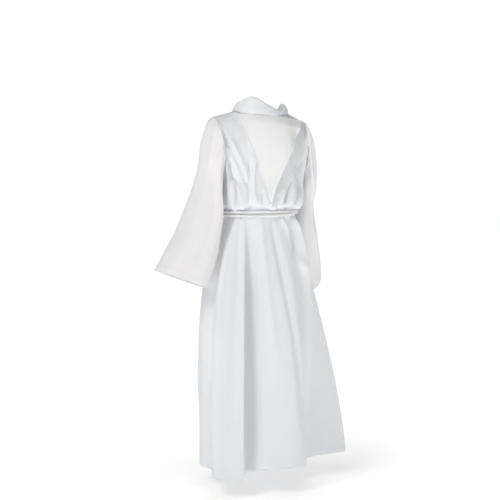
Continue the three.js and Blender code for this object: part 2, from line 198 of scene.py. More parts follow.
def cotton_cord():
    """White cotton strands: fine fibres run along each strand, darker between them."""
    material, tree, surface = new_material("cotton cord", Roughness=0.72, Sheen_Weight=0.15)
    grid = shader_node(tree, "ShaderNodeTexCoord", output="UV")
    fibres = shader_node(tree, "ShaderNodeTexNoise", Vector=grid, Scale=260.0, Detail=3.0)
    colour = shader_node(tree, "ShaderNodeMix", {"data_type": "RGBA"}, output=2)
    mix = colour.socket.node
    feed(tree, mix.inputs["Factor"], fibres)
    mix.inputs["A"].default_value = (0.80, 0.80, 0.79, 1)
    mix.inputs["B"].default_value = (0.93, 0.93, 0.92, 1)
    feed(tree, surface.inputs["Base Color"], colour)
    bump = shader_node(tree, "ShaderNodeBump", Strength=0.3, Distance=0.0003, Height=fibres)
    feed(tree, surface.inputs["Normal"], bump)
    return material


cord_cotton = cotton_cord()


def finish_cord(piece):
    """The looks, slot and body that every stretch of the cord has."""
    piece.data.materials.append(cord_cotton)
    bpy.ops.object.shade_smooth()
    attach(piece, "root")
    return piece


for side, points in (("left", LEFT_END), ("right", RIGHT_END)):
    path = cord_path(points)
    cord_end = finish_cord(laid_cord("cord_end_" + side, path))
    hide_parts("cincture_end_" + side)

# ---------------------------------------------------------------------------
# Back: one panel of white poly-cotton from the shoulder seams to the hem. It
# blouses over the cord, and two pressed pleats open below it and face the middle.
# ---------------------------------------------------------------------------
CLOTH = 0.0011  # one layer
NECK_WIDTH, NECK_BACK, NECK_FRONT = 0.068, 0.058, 0.066
NECK_SIDE_Z, NECK_BACK_Z, NECK_FRONT_Z = 0.012, -0.002, -0.080
NECK_DIP = 1.4  # how late the neckline dips on its way to the centre
LEFT_ARM_TOP, RIGHT_ARM_TOP = (0.150, -0.009), (0.137, -0.019)
ARM_LOW, ARM_DEPTH = (0.128, -0.168), 0.062
NECK_TURN, SHOULDER_TURN = 30, 52  # degrees from centre, where the shoulder seam runs
# where the cloth turns over the shoulder: parts of the way in x and y, and metres down
YOKE_ACROSS, YOKE_DEPTH, YOKE_FALL = 0.3, 0.9, 0.004

# drop, half width, reach to the back, reach to the front, roundness of the corners
BODICE = np.array([
    (0.176, 0.121, 0.087, 0.084, 2.7),
    (0.215, 0.120, 0.093, 0.086, 2.5),
    (0.246, 0.118, 0.099, 0.089, 2.3),
    (0.261, 0.115, 0.097, 0.088, 2.2),
    (0.267, 0.105, 0.082, 0.081, 2.1),
    (0.288, 0.103, 0.078, 0.078, 2.0),
])
# turn at the waist, hem x, hem y, hem drop, how soon it flares, belly above the knee
FOLDS = np.array([
    (90, 0.166, -0.042, 1.003, 5.0, 0),
    (77, 0.160, 0.020, 1.003, 5.0, 0),
    (66, 0.198, 0.118, 1.003, 2.6, 0),
    (54, 0.165, 0.150, 1.003, 2.2, 0),
    (42, 0.119, 0.169, 1.002, 2.0, 0),
    (36, 0.098, 0.130, 0.996, 2.0, 0),
    (27, 0.070, 0.150, 0.988, 2.0, 0),
    (14, 0.036, 0.174, 0.981, 2.0, 0),
    (0, 0.000, 0.185, 0.980, 2.0, 0),
    (-14, -0.038, 0.182, 0.981, 2.0, 0),
    (-26, -0.072, 0.156, 0.984, 2.0, 0),
    (-35, -0.092, 0.088, 0.996, 2.0, -0.006),
    (-46, -0.130, 0.022, 1.003, 2.0, 0.040),
    (-60, -0.160, -0.008, 1.003, 1.8, 0.014),
    (-75, -0.222, -0.028, 1.003, 1.5, 0),
    (-90, -0.308, -0.046, 1.003, 1.35, 0),
    (-104, -0.262, -0.112, 1.003, 1.45, 0),
    (-120, -0.186, -0.128, 1.003, 1.6, 0),
    (-136, -0.142, -0.176, 1.003, 1.8, 0),
    (-152, -0.076, -0.160, 1.003, 2.0, 0),
    (-168, -0.026, -0.188, 1.003, 2.0, 0),
    (-184, 0.026, -0.184, 1.003, 2.0, 0),
    (-200, 0.066, -0.160, 1.003, 2.2, 0),
    (-216, 0.102, -0.176, 1.003, 2.6, 0),
    (-233, 0.122, -0.134, 1.003, 3.4, 0),
    (-251, 0.150, -0.092, 1.003, 4.4, 0),
])
RIGHT_SEAM = 15  # the fold at the right side seam
FOLD_STEP = 40  # millimetres between neighbouring folds near the knee
CORD_DROP, WAIST_DROP, HEM_DROP = 278, 288, 1003  # millimetres down to each
MM_PER_DEGREE = [2.0, 1.8, 3.6]  # round the body at the shoulders, the waist and the hem


def turn_at(fold):
    """Degrees round the waist from centre back, at fractional fold numbers."""
    even = 90 - 360 * np.arange(len(FOLDS)) / len(FOLDS)
    uneven = spline((FOLDS[:, 0] - even)[:, None], np.asarray(fold) % len(FOLDS), closed=True)[:, 0]
    return 90 - 360 * np.asarray(fold) / len(FOLDS) + uneven


def top_edge(turn):
    """The neckline, the shoulder seam or the armhole at each turn."""
    angle = np.radians(turn)
    side = np.where(np.sin(angle) < 0, -1.0, 1.0)
    facing = np.where(np.cos(angle) < 0, -1.0, 1.0)
    arm_top = np.where(side[:, None] < 0, RIGHT_ARM_TOP, LEFT_ARM_TOP)
    from_centre = np.degrees(np.arcsin(np.clip(np.abs(np.sin(angle)), 0, 1)))
    round_neck = np.radians(np.clip(from_centre / NECK_TURN, 0, 1) * 90)
    reach = np.where(facing > 0, NECK_BACK, NECK_FRONT)
    centre_z = np.where(facing > 0, NECK_BACK_Z, NECK_FRONT_Z)
    neck = np.stack([side * NECK_WIDTH * np.sin(round_neck), facing * reach * np.cos(round_neck),
                     NECK_SIDE_Z + (centre_z - NECK_SIDE_Z) * np.cos(round_neck) ** NECK_DIP], axis=1)
    part = np.clip((from_centre - NECK_TURN) / (SHOULDER_TURN - NECK_TURN), 0, 1)
    seam = np.stack([side * (NECK_WIDTH + (arm_top[:, 0] - NECK_WIDTH) * part), 0 * part,
                     NECK_SIDE_Z + (arm_top[:, 1] - NECK_SIDE_Z) * part], axis=1)
    down = np.pi * np.clip((from_centre - SHOULDER_TURN) / (90 - SHOULDER_TURN), 0, 1)
    middle = (arm_top + ARM_LOW) / 2
    half = (arm_top - ARM_LOW) / 2
    arm = np.stack([side * (middle[:, 0] + half[:, 0] * np.cos(down)),
                    facing * ARM_DEPTH * np.sin(down),
                    middle[:, 1] + half[:, 1] * np.cos(down)], axis=1)
    on_seam = (from_centre >= NECK_TURN)[:, None]
    on_arm = (from_centre >= SHOULDER_TURN)[:, None]
    return np.where(on_arm, arm, np.where(on_seam, seam, neck))


def section_point(turn, section):
    """A place round a level section of the bodice with rounded corners."""
    drop, width, back, front, corner = section.T
    sine, cosine = np.sin(np.radians(turn)), np.cos(np.radians(turn))
    depth = np.where(cosine > 0, back, front)
    return np.stack([width * np.sign(sine) * np.abs(sine) ** (2 / corner),
                     depth * np.sign(cosine) * np.abs(cosine) ** (2 / corner), -drop], axis=1)


def body_point(fold, level):
    """The robe's body: level runs 0 to 1 down the yoke, to 2 at the cord, 3 at the hem."""
    turn = turn_at(fold)
    top = top_edge(turn)
    first = section_point(turn, np.repeat(BODICE[:1], len(turn), axis=0))
    bend = np.stack([(1 - YOKE_ACROSS) * top[:, 0] + YOKE_ACROSS * first[:, 0],
                     (1 - YOKE_DEPTH) * top[:, 1] + YOKE_DEPTH * first[:, 1],
                     top[:, 2] - YOKE_FALL], axis=1)
    t = np.clip(level, 0, 1)[:, None]
    yoke = (1 - t) ** 2 * top + 2 * t * (1 - t) * bend + t**2 * first
    bodice = section_point(turn, spline(BODICE, np.clip(level - 1, 0, 1) * (len(BODICE) - 1)))
    waist = section_point(turn, np.repeat(BODICE[-1:], len(turn), axis=0))
    hem_x, hem_y, hem_drop, flare, belly = spline(FOLDS[:, 1:], np.asarray(fold) % len(FOLDS),
                                                  closed=True).T
    down = np.clip(level - 2, 0, 1)
    out = 1 - (1 - down) ** flare
    bulge = belly * np.sin(np.pi * np.sqrt(down))
    skirt = np.stack([
        waist[:, 0] + (hem_x - waist[:, 0]) * out + bulge * np.sin(np.radians(turn)),
        waist[:, 1] + (hem_y - waist[:, 1]) * out + bulge * np.cos(np.radians(turn)),
        waist[:, 2] + (-hem_drop - waist[:, 2]) * down], axis=1)
    return np.where((level < 1)[:, None], yoke, np.where((level < 2)[:, None], bodice, skirt))


def outward(surface, a, b, low, high):
    """Unit normals of surface(a, b) by small steps, a to the right and b down."""
    step = 2e-3
    left_a, right_a = np.clip(a - step, low[0], high[0]), np.clip(a + step, low[0], high[0])
    upper_b, lower_b = np.clip(b - step, low[1], high[1]), np.clip(b + step, low[1], high[1])
    right = surface(right_a, b) - surface(left_a, b)
    down = surface(a, lower_b) - surface(a, upper_b)
    normal = np.cross(down, right)
    return normal / np.maximum(np.linalg.norm(normal, axis=1), 1e-12)[:, None]


CREASE_PAST, CREASE_FADE = 0.12, 0.3  # how far a crease runs on and fades, in its own lengths


def crease_height(across, drop, creases):
    """The sum of soft ridges and troughs, each along its own bowed line."""
    total = np.zeros_like(drop)
    for x0, z0, x1, z1, width, height, bow in creases:
        run = math.hypot(x1 - x0, z1 - z0)
        along = ((across - x0) * (x1 - x0) + (drop - z0) * (z1 - z0)) / run**2
        aside = ((across - x0) * (z1 - z0) - (drop - z0) * (x1 - x0)) / run
        inside = np.clip(along, 0, 1)
        aside = aside - bow * np.sin(np.pi * inside)
        ends = np.clip((np.minimum(along, 1 - along) + CREASE_PAST) / CREASE_FADE, 0, 1)
        ends = ends * ends * (3 - 2 * ends)
        total += height * ends * np.exp(-(aside / width) ** 2)
    return total


def millimetres_across(turn, drop):
    """How far round the body a turn is, in millimetres from centre back."""
    return turn * np.interp(drop, [0, WAIST_DROP, HEM_DROP], MM_PER_DEGREE)


# Each crease: from (across, drop) to (across, drop), half width, height, bow: all in mm.
BACK_CREASES = [
    (106, 46, 62, 200, 4.6, -10, 5),
    (93, 62, 50, 190, 8, 6, 5),
    (122, 24, 98, 116, 3.6, -5, 4),
    (113, 22, 82, 110, 6, 3.5, 4),
    (130, 30, 116, 96, 4, -4, 3),
    (50, 134, 68, 264, 7, -12, -5),
    (37, 128, 46, 258, 7, 8, 3),
    (119, 136, 119, 188, 4.6, -15, 2),
    (121, 178, 103, 194, 4.4, -12, 0),
    (104, 186, 109, 256, 5, -16, -2),
    (130, 130, 126, 250, 7, 6, 3),
    (92, 196, 86, 262, 10, 9, -4),
    (22, 215, 26, 262, 6, -5, 0),
    (-8, 225, -6, 264, 5, -4, 0),
    (-22, 205, -16, 264, 5, 5, 2),
    (-68, 34, -96, 214, 22, -20, 6),
    (-50, 184, -24, 250, 4.5, -8, 4),
    (-58, 200, -44, 262, 6, 7, 3),
    (-74, 196, -62, 262, 4, -9, -3),
    (-88, 150, -76, 258, 8, 6, 6),
    (-104, 130, -94, 262, 6, -8, 6),
    (-124, 80, -110, 258, 9, 7, -4),
    (-138, 60, -126, 200, 5, -5, 3),
]


def gathers(turn, drop, rows):
    """Small folds where the cord draws the cloth in: turn, half width, height, reaches."""
    total = np.zeros_like(drop)
    for middle, width, height, above, below in rows:
        away = np.where(drop < CORD_DROP, (CORD_DROP - drop) / above, (drop - CORD_DROP) / below)
        total += height * np.exp(-((turn - middle) / width) ** 2) * np.exp(-away**2)
    return total


BACK_GATHERS = [
    (84, 3.0, -2.5, 30, 40), (76, 2.5, 2.0, 40, 60), (69, 2.2, -2.5, 50, 50),
    (61, 2.4, 2.2, 30, 70), (54, 2.0, -2.4, 40, 30), (47, 2.2, 1.5, 30, 30),
    (33, 2.4, -2.0, 30, 20), (24, 2.6, 1.6, 40, 25), (14, 2.2, -2.0, 26, 16),
    (3, 3.0, 1.2, 30, 20), (-9, 2.4, -2.0, 30, 20), (-18, 2.4, 1.8, 40, 30),
    (-27, 2.2, -2.2, 34, 40), (-36, 2.0, 1.6, 30, 40), (-44, 2.2, 2.6, 30, 90),
    (-52, 2.4, -2.8, 40, 60), (-61, 2.6, 2.2, 30, 60), (-70, 2.4, -2.2, 30, 50),
    (-80, 2.8, 2.0, 40, 50),
]


def soft_waves(points, size, height, stretch=3.0):
    """Slow swells in the cloth, longer down than across."""
    scale = np.array([1 / size, 1 / size, 1 / (size * stretch)])
    return height * np.array([noise.noise(Vector(p)) for p in points * scale])


# how far the blousing sags over the cord: turns from centre back, and millimetres up
SAGS = ([0, 12, 24, 38, 52, 64, 80, 104, 128, 160, 190, 222, 250, 276, 290, 306, 320, 334, 348, 360],
        [-5, 2, 7, 4, -3, -7, 3, -4, 5, -4, 4, -5, 4, -3, 4, -6, 2, 8, 3, -5])
SAG_DROP, SAG_REACH = 262, 22  # millimetres down to the lowest of it, and how far up it is felt
# rows of the mesh: how far down the grid the yoke, the bodice and the skirt end
ROW_SHARES = [0, 0.22, 0.46, 1]
COLUMN_MARKS = 1001  # places where the columns' spacing is worked out
CROWDING, CROWD_WIDTH = 5, 0.16  # extra columns beside a pleat's edge, and how wide, in folds
PLEAT_STEEPNESS = 9  # of the edge over the hollow, against the open side's 1
SWELL_SIZE, SWELL_HEIGHT = 0.05, 1.6  # of the cloth's slow unevenness, in metres and millimetres


def body_panel(name, columns, rows, folds, creases, pulls, swings, notches):
    """A panel of the body from one side seam to the other, with its creases."""
    low, high = (folds[0], 0.0), (folds[1], 3.0)

    def place(u, v):
        # columns stand closer beside each pleat's edge
        even = np.linspace(*folds, COLUMN_MARKS)
        crowd = np.ones(len(even)) + sum(
            CROWDING * np.exp(-((even - notch[0]) / CROWD_WIDTH) ** 2) for notch in notches)
        share = np.cumsum(crowd) - crowd[0]
        fold = np.interp(u * share[-1], share, even)
        level = np.interp(v, ROW_SHARES, [0, 1, 2, 3])
        points = body_point(fold, level)
        normals = outward(body_point, fold, level, low, high)
        turn, drop = turn_at(fold), -1000 * points[:, 2]
        lift = crease_height(millimetres_across(turn, drop), drop, creases)
        lift += gathers(turn, drop, pulls) + crease_height(FOLD_STEP * fold, drop, swings)
        # creases and swells fade out at the shoulder seam and at the side seams
        lift *= np.clip((level + 0.02) / 0.3, 0, 1)
        edge = np.clip(np.minimum(u, 1 - u) / 0.03, 0, 1)
        swell = soft_waves(points, SWELL_SIZE, SWELL_HEIGHT) * np.clip(level / 0.5, 0, 1)
        for at, width, depth, start, full, fade in notches:
            away = (fold - at) / width
            cut = np.exp(-np.where(away < 0, away * PLEAT_STEEPNESS, away) ** 4)
            lift -= cut * np.interp(drop, [start, full, fade, HEM_DROP], [0, depth, depth, depth / 2])
        sag = np.interp(turn % 360, *SAGS) * np.exp(-((drop - SAG_DROP) / SAG_REACH) ** 2)
        points[:, 2] += 0.001 * sag
        return points + normals * ((lift + swell) * edge / 1000)[:, None]

    return cloth_grid(name, columns, rows, place)


def give_thickness(piece, thickness):
    """Turns a sheet into a wall, inward from its outer face."""
    piece.modifiers.new("cloth", "SOLIDIFY")
    piece.modifiers["cloth"].thickness = thickness
    piece.modifiers["cloth"].offset = -1
    bpy.context.view_layer.objects.active = piece
    bpy.ops.object.modifier_apply(modifier="cloth")
    bpy.ops.object.shade_smooth()


WHITE, SHADED_WHITE = (0.90, 0.91, 0.93), (0.86, 0.87, 0.90)
THREAD = 0.0009  # from one thread of the weave to the next but one


def poly_cotton(name, width, length, pale=WHITE, shade=SHADED_WHITE):
    """Smooth plain weave: fine threads both ways, with a slow unevenness of tone."""
    material, tree, surface = new_material(name, Roughness=0.78, Sheen_Weight=0.12,
                                           Sheen_Roughness=0.4, Specular_IOR_Level=0.3)
    grid = shader_node(tree, "ShaderNodeTexCoord", output="UV")
    split = shader_node(tree, "ShaderNodeSeparateXYZ", Vector=grid)
    along = Signal(tree, split.socket.node.outputs["X"]) * (width * 2 * math.pi / THREAD)
    down = Signal(tree, split.socket.node.outputs["Y"]) * (length * 2 * math.pi / THREAD)
    weave = along.math("SINE") * down.math("SINE")
    place = shader_node(tree, "ShaderNodeTexCoord", output="Object")
    tone = shader_node(tree, "ShaderNodeTexNoise", Vector=place, Scale=9.0, Detail=2.0)
    colour = shader_node(tree, "ShaderNodeMix", {"data_type": "RGBA"}, output=2)
    mix = colour.socket.node
    feed(tree, mix.inputs["Factor"], tone)
    mix.inputs["A"].default_value = (*shade, 1)
    mix.inputs["B"].default_value = (*pale, 1)
    feed(tree, surface.inputs["Base Color"], colour)
    slub = shader_node(tree, "ShaderNodeTexNoise", Vector=place, Scale=420.0, Detail=2.0)
    height = weave * 0.5 + slub
    feed(tree, surface.inputs["Normal"],
         shader_node(tree, "ShaderNodeBump", Strength=0.12, Distance=0.0004, Height=height))
    return material


def finish_cloth(piece, node, material):
    """The looks, slot and body of a cloth piece; the part it stands in for is hidden."""
    piece.data.materials.append(material)
    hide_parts(node)
    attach(piece, "root")


# long slow folds of the skirt, laid out as the creases are, with FOLD_STEP between folds
BACK_SWINGS = [
    (322, 320, 388, 900, 15, -12, 8),
    (370, 290, 476, 450, 13, 10, 5),
    (404, 300, 440, 620, 12, -7, 5),
    (122, 320, 124, 940, 13, -6, 5),
    (80, 330, 86, 960, 12, 5, -4),
    (270, 300, 292, 660, 12, 5, -5),
    (512, 330, 540, 900, 14, -8, -6),
    (560, 360, 566, 930, 13, 6, 5),
    (36, 300, 30, 800, 12, -6, 5),
]
# the hollow beside each pleat's edge: fold, width in folds, depth, and the drops where it
# starts, is full and fades, in millimetres
PLEATS = [(4.06, 1.9, 25, 290, 470, 860), (10.9, 0.6, 12, 320, 600, 900)]
BACK_COLUMNS, BACK_ROWS = 225, 216
back = body_panel("back_panel", BACK_COLUMNS, BACK_ROWS, (0, RIGHT_SEAM), BACK_CREASES,
                  BACK_GATHERS, BACK_SWINGS, PLEATS)
give_thickness(back, CLOTH)
finish_cloth(back, "back", poly_cotton("back cloth", 0.8, 1.0))

# ---------------------------------------------------------------------------
# Front: one plain panel of the same cloth, with the neckline's scoop at the top.
# It is drawn in by the cord and falls in soft, uneven folds.
# ---------------------------------------------------------------------------
FRONT_CREASES = [
    (-350, 120, -346, 262, 7, -4, 6),
    (-338, 60, -330, 250, 9, 3, -6),
    (-318, 90, -324, 262, 6, -3.5, 5),
    (-392, 100, -384, 262, 7, -4, -6),
    (-410, 70, -402, 255, 9, 3, 5),
    (-300, 120, -306, 262, 7, 3, -4),
    (-424, 130, -418, 262, 6, -3.5, 4),
    (-280, 60, -268, 200, 7, -3, 6),
    (-440, 60, -450, 200, 7, -3, -6),
]
FRONT_GATHERS = [
    (-98, 2.6, -2.2, 30, 50), (-107, 2.4, 2.0, 40, 60), (-116, 2.2, -2.4, 30, 40),
    (-126, 2.6, 2.0, 34, 50), (-135, 2.2, -2.0, 40, 30), (-143, 2.4, 2.4, 30, 60),
    (-153, 2.6, -2.6, 44, 50), (-162, 2.2, 1.8, 30, 40), (-171, 2.4, -2.0, 30, 40),
    (-180, 2.6, 2.2, 40, 60), (-189, 2.2, -2.4, 30, 40), (-198, 2.6, 1.8, 34, 50),
    (-207, 2.2, -2.0, 30, 40), (-216, 2.4, 2.4, 44, 60), (-226, 2.6, -2.2, 30, 50),
    (-236, 2.2, 2.0, 30, 40), (-246, 2.6, -2.4, 40, 50), (-256, 2.4, 2.0, 30, 60),
]
FRONT_SWINGS = [
    (640, 310, 636, 900, 14, -6, 6), (690, 300, 700, 760, 13, 6, -5), (742, 320, 738, 940, 15, -8, 6),
    (800, 300, 806, 820, 13, 6, 5), (850, 310, 842, 930, 14, -7, -6), (908, 300, 916, 860, 13, 7, 5),
    (962, 320, 958, 900, 14, -7, 5), (1010, 300, 1014, 840, 12, 5, -4),
]
FRONT_COLUMNS, FRONT_ROWS = 165, 190
front = body_panel("front_panel", FRONT_COLUMNS, FRONT_ROWS, (RIGHT_SEAM, len(FOLDS)),
                   FRONT_CREASES, FRONT_GATHERS, FRONT_SWINGS, [])
give_thickness(front, CLOTH)
finish_cloth(front, "front", poly_cotton("front cloth", 0.8, 0.95))

# ---------------------------------------------------------------------------
# Sleeves: wide and plain, each cut in one piece and closed along the underarm.
# The left arm hangs a little out and the right forearm is carried forward.
# ---------------------------------------------------------------------------
# outer end x, y, z; inner end x, y, z; half depth; turn of the depth outwards
LEFT_RINGS = np.array([
    (0.150, 0.000, -0.009, 0.128, 0.000, -0.168, 0.062, 0),
    (0.164, -0.002, -0.042, 0.130, 0.006, -0.184, 0.061, 0),
    (0.175, -0.004, -0.100, 0.130, 0.014, -0.218, 0.057, 0),
    (0.189, -0.006, -0.165, 0.130, 0.022, -0.262, 0.053, 0),
    (0.216, -0.008, -0.240, 0.133, 0.030, -0.312, 0.050, 0),
    (0.248, -0.010, -0.312, 0.145, 0.038, -0.366, 0.047, 0),
    (0.284, -0.012, -0.376, 0.163, 0.042, -0.424, 0.045, 0),
    (0.316, -0.014, -0.433, 0.184, 0.040, -0.484, 0.044, 0),
])
RIGHT_RINGS = np.array([
    (-0.137, 0.000, -0.019, -0.128, 0.000, -0.168, 0.062, 0),
    (-0.151, -0.001, -0.052, -0.129, 0.002, -0.186, 0.060, 0),
    (-0.166, -0.006, -0.107, -0.128, 0.003, -0.222, 0.054, 0),
    (-0.173, -0.020, -0.166, -0.128, 0.000, -0.268, 0.046, 12),
    (-0.172, -0.050, -0.225, -0.128, -0.010, -0.322, 0.042, 28),
    (-0.182, -0.080, -0.282, -0.148, -0.024, -0.386, 0.042, 48),
    (-0.197, -0.110, -0.338, -0.170, -0.042, -0.450, 0.041, 66),
    (-0.210, -0.136, -0.392, -0.198, -0.060, -0.513, 0.040, 80),
])
# Creases: from (degrees round, way down) to the same, half width in degrees, height, bow.
# The heights are for a crisp cloth, and CREASE_DEPTH deepens them for this soft one.
CREASE_DEPTH = 1.9
LEFT_SLEEVE_CREASES = [
    (150, 0.02, 128, 0.42, 9, -3.0, 6), (118, 0.00, 108, 0.30, 7, -2.2, 4),
    (100, 0.02, 92, 0.5, 12, 2.2, -6), (60, 0.00, 66, 0.24, 8, -2.0, 4),
    (34, 0.02, 44, 0.36, 10, 1.8, 4), (78, 0.30, 96, 0.85, 14, -2.4, 8),
    (128, 0.40, 120, 0.98, 14, 2.4, -6), (46, 0.40, 52, 0.96, 16, 1.8, 4),
    (160, 0.35, 150, 0.8, 10, -2.2, 6), (200, 0.1, 190, 0.6, 12, -2.4, 6),
    (250, 0.05, 262, 0.7, 14, -2.2, 8), (300, 0.1, 290, 0.6, 12, 2.2, 6),
    (330, 0.0, 326, 0.4, 9, -2.0, 4), (224, 0.3, 232, 0.9, 14, 2.0, 5),
]
RIGHT_SLEEVE_CREASES = [
    (140, 0.02, 120, 0.40, 9, -3.0, 6), (112, 0.00, 96, 0.42, 8, 2.6, 4),
    (84, 0.02, 80, 0.5, 9, -2.8, -6), (60, 0.00, 58, 0.4, 9, 2.0, 4),
    (32, 0.02, 40, 0.5, 9, -2.2, 4), (74, 0.42, 96, 0.55, 7, -3.5, 8),
    (96, 0.50, 60, 0.62, 8, -3.0, 6), (118, 0.55, 104, 0.95, 12, 2.4, 5),
    (72, 0.55, 66, 0.98, 13, -2.2, 4), (30, 0.50, 26, 0.95, 12, 2.0, 5),
    (200, 0.2, 196, 0.8, 12, -2.4, 6), (250, 0.05, 258, 0.7, 14, 2.2, 6),
    (300, 0.1, 292, 0.7, 12, -2.4, 6), (340, 0.1, 344, 0.6, 10, 2.0, 4),
]


def sleeve_surface(rings, side):
    """The sleeve's surface: degrees round it from its outer side, and way down it, 0 to 1."""
    def surface(degrees, way):
        outer_x, outer_y, outer_z, inner_x, inner_y, inner_z, depth, turn = spline(
            rings, way * (len(rings) - 1)).T
        angle = np.radians(degrees)
        wide, deep = 0.5 * np.cos(angle), depth * np.sin(angle)
        turned = np.radians(turn)
        return np.stack([
            (outer_x + inner_x) / 2 + (outer_x - inner_x) * wide + side * deep * np.sin(turned),
            (outer_y + inner_y) / 2 + (outer_y - inner_y) * wide + deep * np.cos(turned),
            (outer_z + inner_z) / 2 + (outer_z - inner_z) * wide], axis=1)
    return surface


CUFF_HEM = 0.945  # the way down to the cuff's turned hem, 25 mm deep
# how far the hem stands out and its stitches sink in, in millimetres, and the stitches'
# half width as a part of the way down
HEM_LIFT, HEM_STITCH, STITCH_WIDTH = 0.45, 0.5, 0.004
ARMHOLE_GAP = 0.0012  # between the sleeve's head and the armhole's edge
SLEEVE_COLUMNS, SLEEVE_ROWS = 150, 170


def sleeve(name, rings, side, creases):
    """A sleeve from its armhole to its cuff, with its creases and its hem."""
    surface = sleeve_surface(rings, side)
    deepened = [(a, 100 * b, c, 100 * d, wide, CREASE_DEPTH * high, bow)
                for a, b, c, d, wide, high, bow in creases]

    def place(u, v):
        degrees = 360 * side * u
        points = surface(degrees, v)
        step = 0.5
        right = surface(degrees + side * step, v) - surface(degrees - side * step, v)
        down = surface(degrees, np.clip(v + 1e-3, 0, 1)) - surface(degrees, np.clip(v - 1e-3, 0, 1))
        normals = np.cross(down, right)
        normals /= np.linalg.norm(normals, axis=1)[:, None]
        lift = np.zeros_like(v)
        for turned in (-360, 0, 360):
            lift += crease_height(np.mod(degrees, 360) + turned, 100 * v, deepened)
        points[:, 0] -= side * ARMHOLE_GAP * np.clip(1 - v / 0.03, 0, 1)
        fade = np.clip(v / 0.05, 0, 1)
        lift = (lift + soft_waves(points, 0.045, 1.5)) * fade
        lift += np.where(v > CUFF_HEM, HEM_LIFT, 0.0)
        lift -= HEM_STITCH * np.exp(-((v - CUFF_HEM) / STITCH_WIDTH) ** 2)
        return points + normals * (lift / 1000)[:, None]

    piece = cloth_grid(name, SLEEVE_COLUMNS, SLEEVE_ROWS, place, closed=True)
    give_thickness(piece, CLOTH)
    return piece


sleeve_cloth = poly_cotton("sleeve cloth", 0.42, 0.5, (0.905, 0.895, 0.90), (0.875, 0.86, 0.875))
for word, side, rings, creases in (("left", 1, LEFT_RINGS, LEFT_SLEEVE_CREASES),
                                   ("right", -1, RIGHT_RINGS, RIGHT_SLEEVE_CREASES)):
    finish_cloth(sleeve("sleeve_panel_" + word, rings, side, creases), "sleeve_" + word,
                 sleeve_cloth)

# ---------------------------------------------------------------------------
# Hood: the flat pointed hood lies on the back. It is two layers of the cloth
# pressed together, with a narrow hem stitched along both slanting edges.
# ---------------------------------------------------------------------------
HOOD_LEFT, HOOD_RIGHT, HOOD_TIP = (0.096, 0.001), (-0.112, -0.018), (0.011, -0.253)
HOOD_LAYERS = 0.0020
HOOD_OFF = 0.0009  # clear of the back
# the hem's width, how far it stands out and how far its stitches sink in
HOOD_HEM, HOOD_HEM_LIFT, HOOD_STITCH = 0.006, 0.0006, 0.0005
HOOD_COLUMNS, HOOD_ROWS = 80, 130
HOOD_LEFT_BOW, HOOD_RIGHT_BOW = 1.02, 1.35  # how far each slanting edge bows in: 1 is straight
HOOD_TIP_HALF = 0.001  # half the width of the pointed tip
HOOD_SMOOTHING = 80  # passes that draw the cloth across the back's hollows
HOOD_STANDS_OFF = 0.022  # the upper right edge, from the back
HOOD_RIDGE = 0.0012  # a soft ridge down the middle


def place_hood(u, v):
    """Each place on the hood lies a little off the back, drawn smooth across its hollows."""
    column = np.rint(u * HOOD_COLUMNS).astype(int)
    row = np.rint(v * HOOD_ROWS).astype(int)
    down = (np.arange(HOOD_ROWS + 1) / HOOD_ROWS)[:, None] ** 1.4
    across = (np.arange(HOOD_COLUMNS + 1) / HOOD_COLUMNS)[None, :]
    left = HOOD_TIP[0] + HOOD_TIP_HALF + (HOOD_LEFT[0] - HOOD_TIP[0]) * (1 - down) ** HOOD_LEFT_BOW
    right = HOOD_TIP[0] - HOOD_TIP_HALF + (HOOD_RIGHT[0] - HOOD_TIP[0]) * (1 - down) ** HOOD_RIGHT_BOW
    x = left + (right - left) * across
    top = HOOD_LEFT[1] + (HOOD_RIGHT[1] - HOOD_LEFT[1]) * across
    top = top + 0.004 * np.sin(np.pi * across)
    z = top + (HOOD_TIP[1] - top) * down
    y = np.empty_like(x)
    for spot in np.ndindex(x.shape):
        hit, place, _, _ = back.ray_cast(Vector((x[spot], 0.3, z[spot])), Vector((0, -1, 0)))
        y[spot] = place[1] if hit else 0.0
    resting = y.copy()
    for _ in range(HOOD_SMOOTHING):
        padded = np.pad(y, 1, mode="edge")
        y = (padded[:-2, 1:-1] + padded[2:, 1:-1] + padded[1:-1, :-2] + padded[1:-1, 2:]) / 4
        y = np.maximum(y, resting)
    y += HOOD_STANDS_OFF * across**2 * (1 - down) ** 0.5 * np.clip(down / 0.12 + 0.25, 0, 1)
    points = np.stack([x, y, z], axis=2)
    normals = np.cross(np.gradient(points, axis=0), np.gradient(points, axis=1))
    normals /= np.maximum(np.linalg.norm(normals, axis=2), 1e-12)[..., None]
    from_edge = np.minimum(across, 1 - across) * (left - right)
    lift = HOOD_LAYERS + HOOD_OFF + np.where(from_edge < HOOD_HEM, HOOD_HEM_LIFT, 0.0)
    lift -= HOOD_STITCH * np.exp(-((from_edge - HOOD_HEM) / 0.0012) ** 2)
    lift += HOOD_RIDGE * np.exp(-((across - 0.35 - 0.1 * down) / 0.10) ** 2) * down
    points += normals * lift[..., None]
    return points[row, column]


hood = cloth_grid("hood_panel", HOOD_COLUMNS, HOOD_ROWS, place_hood)
give_thickness(hood, HOOD_LAYERS)
hood_cloth = poly_cotton("hood cloth", 0.2, 0.27, (0.95, 0.95, 0.95), (0.93, 0.93, 0.935))
finish_cloth(hood, "hood", hood_cloth)

# ---------------------------------------------------------------------------
# Neck roll: the soft neck part of the hood stands up inside the neckline, rolls
# over and falls outside, highest behind the left ear and lowest behind the right.
# ---------------------------------------------------------------------------
# turn from centre back to the wearer's left, the crest's height over the neckline, and
# the reach out to the lower edge
ROLL_ROWS = np.array([
    (0, 0.027, 0.011), (38, 0.046, 0.012), (80, 0.025, 0.011), (130, 0.018, 0.015),
    (180, 0.016, 0.018), (230, 0.018, 0.017), (285, 0.019, 0.014), (325, 0.011, 0.011),
])
